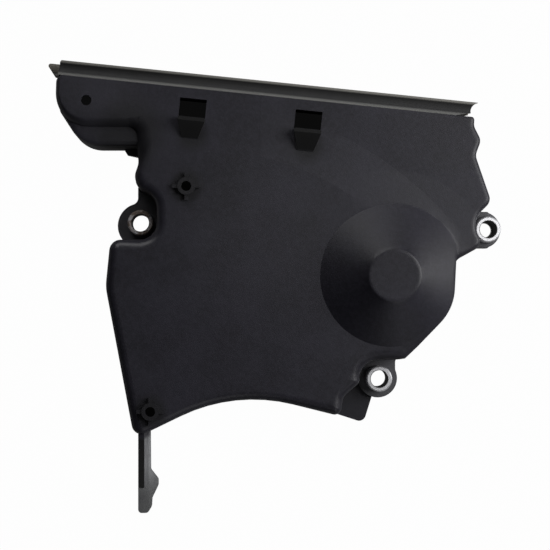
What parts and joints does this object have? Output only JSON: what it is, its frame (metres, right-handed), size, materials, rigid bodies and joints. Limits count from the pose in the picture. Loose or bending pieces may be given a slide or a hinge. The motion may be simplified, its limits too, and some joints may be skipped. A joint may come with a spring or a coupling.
{
  "type": "timing cover",
  "caption": "Shallow moulded plastic timing cover with a rounded front, a cone-shaped bulge, sleeved bolt ears, hook clips, screw bosses, a thin leg and a rubber seal along its top edge.",
  "frame": {"origin": "axis of the left bolt sleeve on the mounting plane, which is the plane of the cover's rim", "axes": "+Z out of the front face along the bolt axes, +X from the left bolt towards the right bolt as the cover is seen from the front, +Y up towards the sealed top edge"},
  "size_m": [0.1947, 0.1934, 0.04],
  "materials": {
    "cover_plastic": "fine moulded texture, satin black",
    "sleeve_steel": "plain turned",
    "seal_rubber": "matte dark grey"
  },
  "bodies": {
    "root": {"cover": "cover_plastic", "sleeve_left": "sleeve_steel", "sleeve_right": "sleeve_steel", "sleeve_lower": "sleeve_steel", "top_seal": "seal_rubber"}
  },
  "joints": []
}
